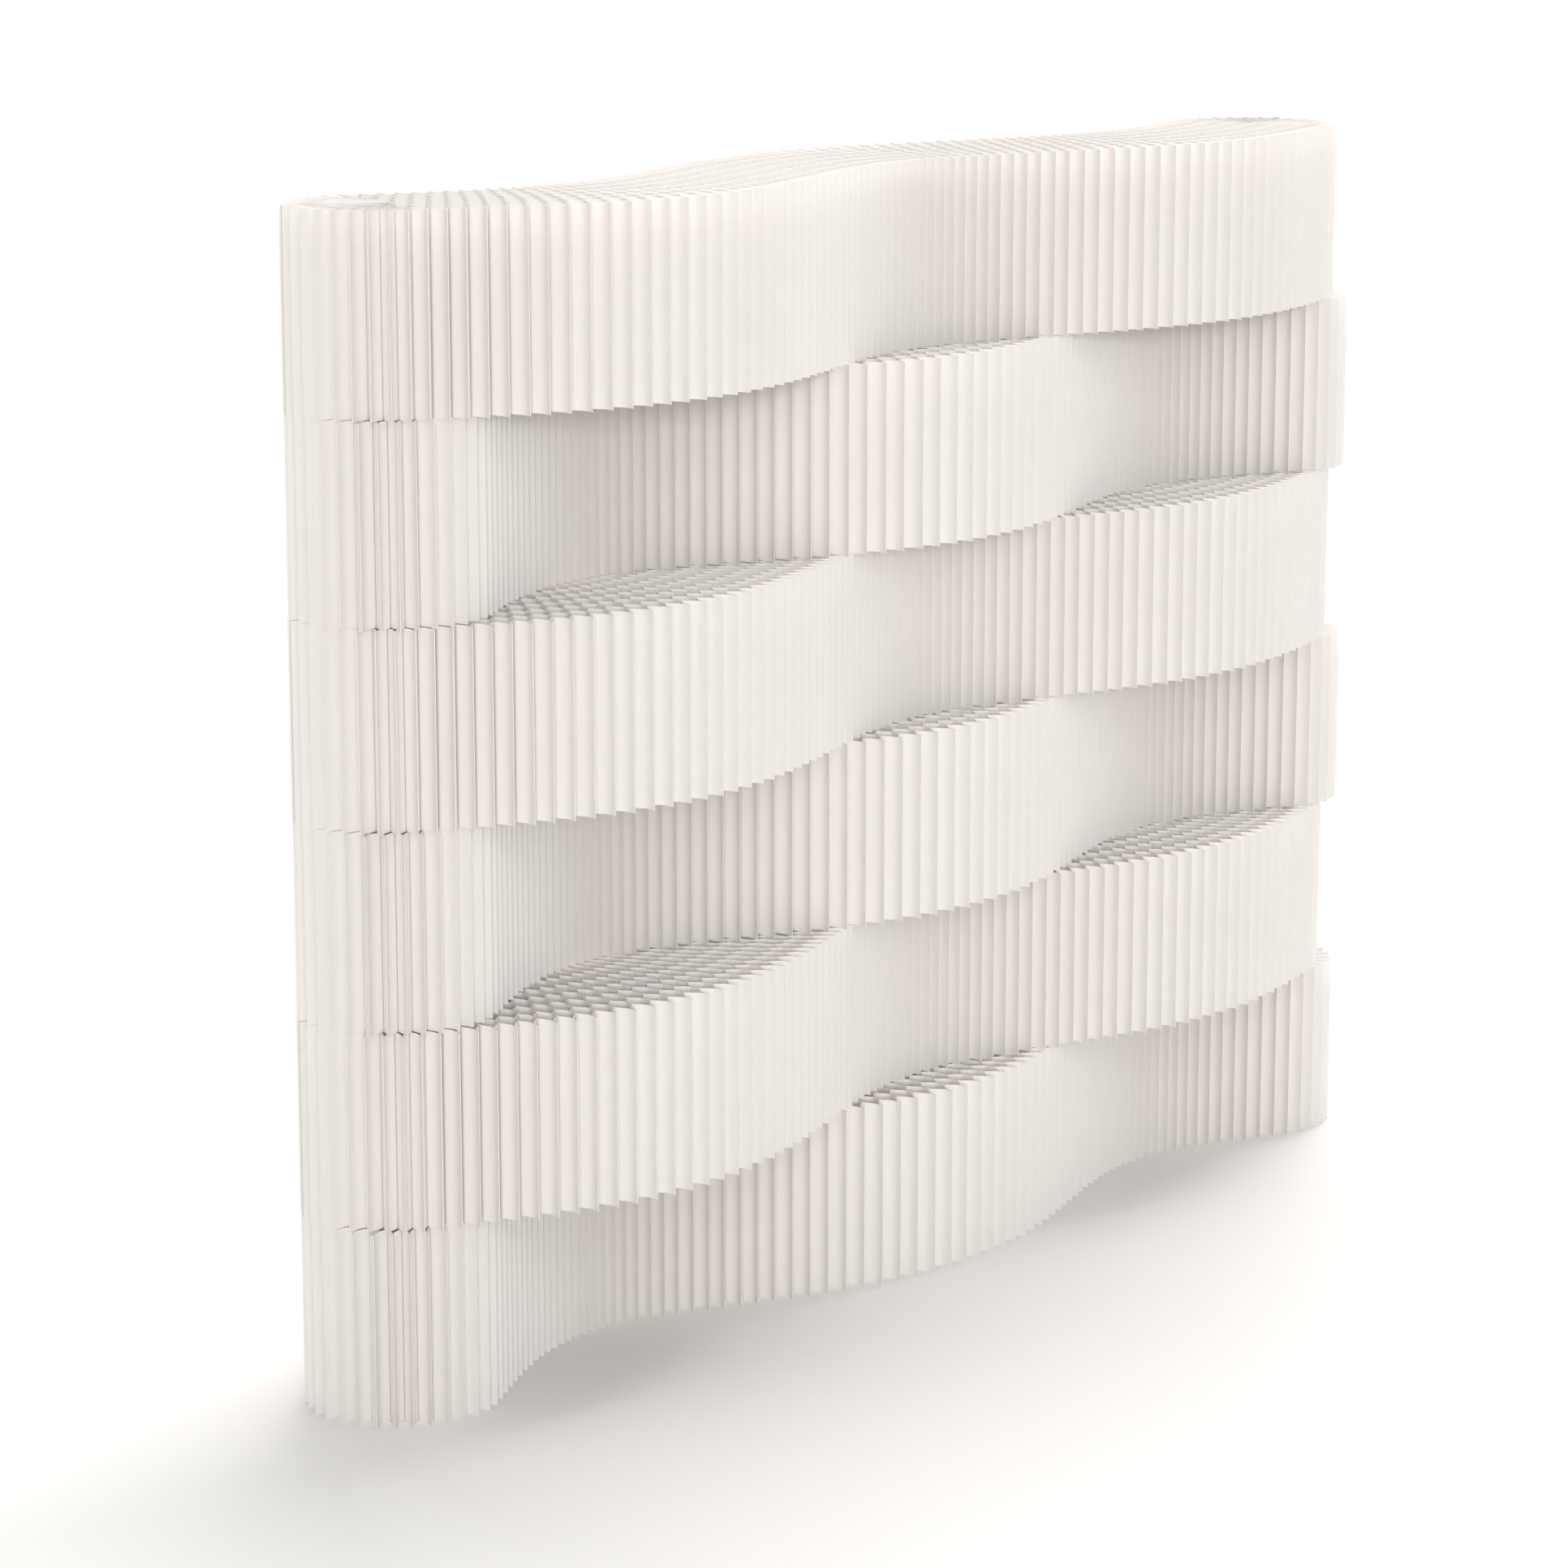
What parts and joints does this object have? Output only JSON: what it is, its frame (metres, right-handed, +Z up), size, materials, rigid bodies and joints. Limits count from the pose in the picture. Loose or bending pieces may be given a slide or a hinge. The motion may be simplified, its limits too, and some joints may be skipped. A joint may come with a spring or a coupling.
{
  "type": "pleated paper screen",
  "caption": "Freestanding wall of stacked wavy tiers of white pleated honeycomb paper, each with folding magnetic end panels that open its ends into round fans.",
  "frame": {"origin": "on the floor, at the middle of the outline's box in plan", "axes": "+X along the wall to its right end, -Y out of its front, +Z up"},
  "size_m": [2.4314, 0.5776, 1.8315],
  "materials": {
    "white_paper": "matt white, slightly translucent",
    "white_board": "matt white covered board",
    "magnet_steel": "plated discs"
  },
  "bodies": {
    "tier_1": {"tier_1_paper": "white_paper", "tier_1_left_fan": "white_paper"},
    "tier_1_left_front": {"tier_1_left_front_board": "white_board", "tier_1_left_magnets": "magnet_steel"},
    "tier_1_left_back": {"tier_1_left_back_board": "white_board"},
    "tier_1_far_end": {"tier_1_right_fan": "white_paper"},
    "tier_1_right_front": {"tier_1_right_front_board": "white_board", "tier_1_right_magnets": "magnet_steel"},
    "tier_1_right_back": {"tier_1_right_back_board": "white_board"},
    "tier_2": {"tier_2_paper": "white_paper", "tier_2_left_fan": "white_paper"},
    "tier_2_left_front": {"tier_2_left_front_board": "white_board", "tier_2_left_magnets": "magnet_steel"},
    "tier_2_left_back": {"tier_2_left_back_board": "white_board"},
    "tier_2_far_end": {"tier_2_right_fan": "white_paper"},
    "tier_2_right_front": {"tier_2_right_front_board": "white_board", "tier_2_right_magnets": "magnet_steel"},
    "tier_2_right_back": {"tier_2_right_back_board": "white_board"},
    "tier_3": {"tier_3_paper": "white_paper", "tier_3_left_fan": "white_paper"},
    "tier_3_left_front": {"tier_3_left_front_board": "white_board", "tier_3_left_magnets": "magnet_steel"},
    "tier_3_left_back": {"tier_3_left_back_board": "white_board"},
    "tier_3_far_end": {"tier_3_right_fan": "white_paper"},
    "tier_3_right_front": {"tier_3_right_front_board": "white_board", "tier_3_right_magnets": "magnet_steel"},
    "tier_3_right_back": {"tier_3_right_back_board": "white_board"},
    "tier_4": {"tier_4_paper": "white_paper", "tier_4_left_fan": "white_paper"},
    "tier_4_left_front": {"tier_4_left_front_board": "white_board", "tier_4_left_magnets": "magnet_steel"},
    "tier_4_left_back": {"tier_4_left_back_board": "white_board"},
    "tier_4_far_end": {"tier_4_right_fan": "white_paper"},
    "tier_4_right_front": {"tier_4_right_front_board": "white_board", "tier_4_right_magnets": "magnet_steel"},
    "tier_4_right_back": {"tier_4_right_back_board": "white_board"},
    "tier_5": {"tier_5_paper": "white_paper", "tier_5_left_fan": "white_paper"},
    "tier_5_left_front": {"tier_5_left_front_board": "white_board", "tier_5_left_magnets": "magnet_steel"},
    "tier_5_left_back": {"tier_5_left_back_board": "white_board"},
    "tier_5_far_end": {"tier_5_right_fan": "white_paper"},
    "tier_5_right_front": {"tier_5_right_front_board": "white_board", "tier_5_right_magnets": "magnet_steel"},
    "tier_5_right_back": {"tier_5_right_back_board": "white_board"},
    "tier_6": {"tier_6_paper": "white_paper", "tier_6_left_fan": "white_paper"},
    "tier_6_left_front": {"tier_6_left_front_board": "white_board", "tier_6_left_magnets": "magnet_steel"},
    "tier_6_left_back": {"tier_6_left_back_board": "white_board"},
    "tier_6_far_end": {"tier_6_right_fan": "white_paper"},
    "tier_6_right_front": {"tier_6_right_front_board": "white_board", "tier_6_right_magnets": "magnet_steel"},
    "tier_6_right_back": {"tier_6_right_back_board": "white_board"}
  },
  "joints": [
    {"name": "tier_1_draw", "type": "slide", "parent": "tier_1", "child": "tier_1_far_end", "axis": [-1, 0, 0], "range_m": [0, 1.85], "deforming": ["tier_1_paper"]},
    {"name": "tier_1_left_open", "type": "hinge", "parent": "tier_1", "child": "tier_1_left_front", "pos_m": [-1.06456, -0.01538, 0.1525], "axis": [0, 0, 1], "range_deg": [0, 90], "deforming": ["tier_1_left_fan"]},
    {"name": "tier_1_left_open_back", "type": "hinge", "parent": "tier_1", "child": "tier_1_left_back", "pos_m": [-1.06456, -0.01538, 0.1525], "axis": [0, 0, 1], "range_deg": [-90, 0]},
    {"name": "tier_1_right_open", "type": "hinge", "parent": "tier_1_far_end", "child": "tier_1_right_front", "pos_m": [1.06544, -0.01538, 0.1525], "axis": [0, 0, -1], "range_deg": [0, 90], "deforming": ["tier_1_right_fan"]},
    {"name": "tier_1_right_open_back", "type": "hinge", "parent": "tier_1_far_end", "child": "tier_1_right_back", "pos_m": [1.06544, -0.01538, 0.1525], "axis": [0, 0, -1], "range_deg": [-90, 0]},
    {"name": "tier_2_lift", "type": "slide", "parent": "tier_1", "child": "tier_2", "axis": [0, 0, 1], "range_m": [0, 0.32]},
    {"name": "tier_2_draw", "type": "slide", "parent": "tier_2", "child": "tier_2_far_end", "axis": [-1, 0, 0], "range_m": [0, 1.85], "deforming": ["tier_2_paper"]},
    {"name": "tier_2_left_open", "type": "hinge", "parent": "tier_2", "child": "tier_2_left_front", "pos_m": [-1.06456, -0.01538, 0.4578], "axis": [0, 0, 1], "range_deg": [0, 90], "deforming": ["tier_2_left_fan"]},
    {"name": "tier_2_left_open_back", "type": "hinge", "parent": "tier_2", "child": "tier_2_left_back", "pos_m": [-1.06456, -0.01538, 0.4578], "axis": [0, 0, 1], "range_deg": [-90, 0]},
    {"name": "tier_2_right_open", "type": "hinge", "parent": "tier_2_far_end", "child": "tier_2_right_front", "pos_m": [1.02044, -0.01538, 0.4578], "axis": [0, 0, -1], "range_deg": [0, 90], "deforming": ["tier_2_right_fan"]},
    {"name": "tier_2_right_open_back", "type": "hinge", "parent": "tier_2_far_end", "child": "tier_2_right_back", "pos_m": [1.02044, -0.01538, 0.4578], "axis": [0, 0, -1], "range_deg": [-90, 0]},
    {"name": "tier_3_lift", "type": "slide", "parent": "tier_2", "child": "tier_3", "axis": [0, 0, 1], "range_m": [0, 0.32]},
    {"name": "tier_3_draw", "type": "slide", "parent": "tier_3", "child": "tier_3_far_end", "axis": [-1, 0, 0], "range_m": [0, 1.85], "deforming": ["tier_3_paper"]},
    {"name": "tier_3_left_open", "type": "hinge", "parent": "tier_3", "child": "tier_3_left_front", "pos_m": [-1.06456, -0.01538, 0.7631], "axis": [0, 0, 1], "range_deg": [0, 90], "deforming": ["tier_3_left_fan"]},
    {"name": "tier_3_left_open_back", "type": "hinge", "parent": "tier_3", "child": "tier_3_left_back", "pos_m": [-1.06456, -0.01538, 0.7631], "axis": [0, 0, 1], "range_deg": [-90, 0]},
    {"name": "tier_3_right_open", "type": "hinge", "parent": "tier_3_far_end", "child": "tier_3_right_front", "pos_m": [1.06544, -0.01538, 0.7631], "axis": [0, 0, -1], "range_deg": [0, 90], "deforming": ["tier_3_right_fan"]},
    {"name": "tier_3_right_open_back", "type": "hinge", "parent": "tier_3_far_end", "child": "tier_3_right_back", "pos_m": [1.06544, -0.01538, 0.7631], "axis": [0, 0, -1], "range_deg": [-90, 0]},
    {"name": "tier_4_lift", "type": "slide", "parent": "tier_3", "child": "tier_4", "axis": [0, 0, 1], "range_m": [0, 0.32]},
    {"name": "tier_4_draw", "type": "slide", "parent": "tier_4", "child": "tier_4_far_end", "axis": [-1, 0, 0], "range_m": [0, 1.85], "deforming": ["tier_4_paper"]},
    {"name": "tier_4_left_open", "type": "hinge", "parent": "tier_4", "child": "tier_4_left_front", "pos_m": [-1.06456, -0.01538, 1.0684], "axis": [0, 0, 1], "range_deg": [0, 90], "deforming": ["tier_4_left_fan"]},
    {"name": "tier_4_left_open_back", "type": "hinge", "parent": "tier_4", "child": "tier_4_left_back", "pos_m": [-1.06456, -0.01538, 1.0684], "axis": [0, 0, 1], "range_deg": [-90, 0]},
    {"name": "tier_4_right_open", "type": "hinge", "parent": "tier_4_far_end", "child": "tier_4_right_front", "pos_m": [1.02044, -0.01538, 1.0684], "axis": [0, 0, -1], "range_deg": [0, 90], "deforming": ["tier_4_right_fan"]},
    {"name": "tier_4_right_open_back", "type": "hinge", "parent": "tier_4_far_end", "child": "tier_4_right_back", "pos_m": [1.02044, -0.01538, 1.0684], "axis": [0, 0, -1], "range_deg": [-90, 0]},
    {"name": "tier_5_lift", "type": "slide", "parent": "tier_4", "child": "tier_5", "axis": [0, 0, 1], "range_m": [0, 0.32]},
    {"name": "tier_5_draw", "type": "slide", "parent": "tier_5", "child": "tier_5_far_end", "axis": [-1, 0, 0], "range_m": [0, 1.85], "deforming": ["tier_5_paper"]},
    {"name": "tier_5_left_open", "type": "hinge", "parent": "tier_5", "child": "tier_5_left_front", "pos_m": [-1.06456, -0.01538, 1.3737], "axis": [0, 0, 1], "range_deg": [0, 90], "deforming": ["tier_5_left_fan"]},
    {"name": "tier_5_left_open_back", "type": "hinge", "parent": "tier_5", "child": "tier_5_left_back", "pos_m": [-1.06456, -0.01538, 1.3737], "axis": [0, 0, 1], "range_deg": [-90, 0]},
    {"name": "tier_5_right_open", "type": "hinge", "parent": "tier_5_far_end", "child": "tier_5_right_front", "pos_m": [1.06544, -0.01538, 1.3737], "axis": [0, 0, -1], "range_deg": [0, 90], "deforming": ["tier_5_right_fan"]},
    {"name": "tier_5_right_open_back", "type": "hinge", "parent": "tier_5_far_end", "child": "tier_5_right_back", "pos_m": [1.06544, -0.01538, 1.3737], "axis": [0, 0, -1], "range_deg": [-90, 0]},
    {"name": "tier_6_lift", "type": "slide", "parent": "tier_5", "child": "tier_6", "axis": [0, 0, 1], "range_m": [0, 0.32]},
    {"name": "tier_6_draw", "type": "slide", "parent": "tier_6", "child": "tier_6_far_end", "axis": [-1, 0, 0], "range_m": [0, 1.85], "deforming": ["tier_6_paper"]},
    {"name": "tier_6_left_open", "type": "hinge", "parent": "tier_6", "child": "tier_6_left_front", "pos_m": [-1.06456, -0.01538, 1.679], "axis": [0, 0, 1], "range_deg": [0, 90], "deforming": ["tier_6_left_fan"]},
    {"name": "tier_6_left_open_back", "type": "hinge", "parent": "tier_6", "child": "tier_6_left_back", "pos_m": [-1.06456, -0.01538, 1.679], "axis": [0, 0, 1], "range_deg": [-90, 0]},
    {"name": "tier_6_right_open", "type": "hinge", "parent": "tier_6_far_end", "child": "tier_6_right_front", "pos_m": [1.02044, -0.01538, 1.679], "axis": [0, 0, -1], "range_deg": [0, 90], "deforming": ["tier_6_right_fan"]},
    {"name": "tier_6_right_open_back", "type": "hinge", "parent": "tier_6_far_end", "child": "tier_6_right_back", "pos_m": [1.02044, -0.01538, 1.679], "axis": [0, 0, -1], "range_deg": [-90, 0]}
  ],
  "couplings": [
    {"joint": "tier_1_left_open_back", "follows": "tier_1_left_open", "ratio": -1},
    {"joint": "tier_1_right_open_back", "follows": "tier_1_right_open", "ratio": -1},
    {"joint": "tier_2_left_open_back", "follows": "tier_2_left_open", "ratio": -1},
    {"joint": "tier_2_right_open_back", "follows": "tier_2_right_open", "ratio": -1},
    {"joint": "tier_3_left_open_back", "follows": "tier_3_left_open", "ratio": -1},
    {"joint": "tier_3_right_open_back", "follows": "tier_3_right_open", "ratio": -1},
    {"joint": "tier_4_left_open_back", "follows": "tier_4_left_open", "ratio": -1},
    {"joint": "tier_4_right_open_back", "follows": "tier_4_right_open", "ratio": -1},
    {"joint": "tier_5_left_open_back", "follows": "tier_5_left_open", "ratio": -1},
    {"joint": "tier_5_right_open_back", "follows": "tier_5_right_open", "ratio": -1},
    {"joint": "tier_6_left_open_back", "follows": "tier_6_left_open", "ratio": -1},
    {"joint": "tier_6_right_open_back", "follows": "tier_6_right_open", "ratio": -1}
  ]
}
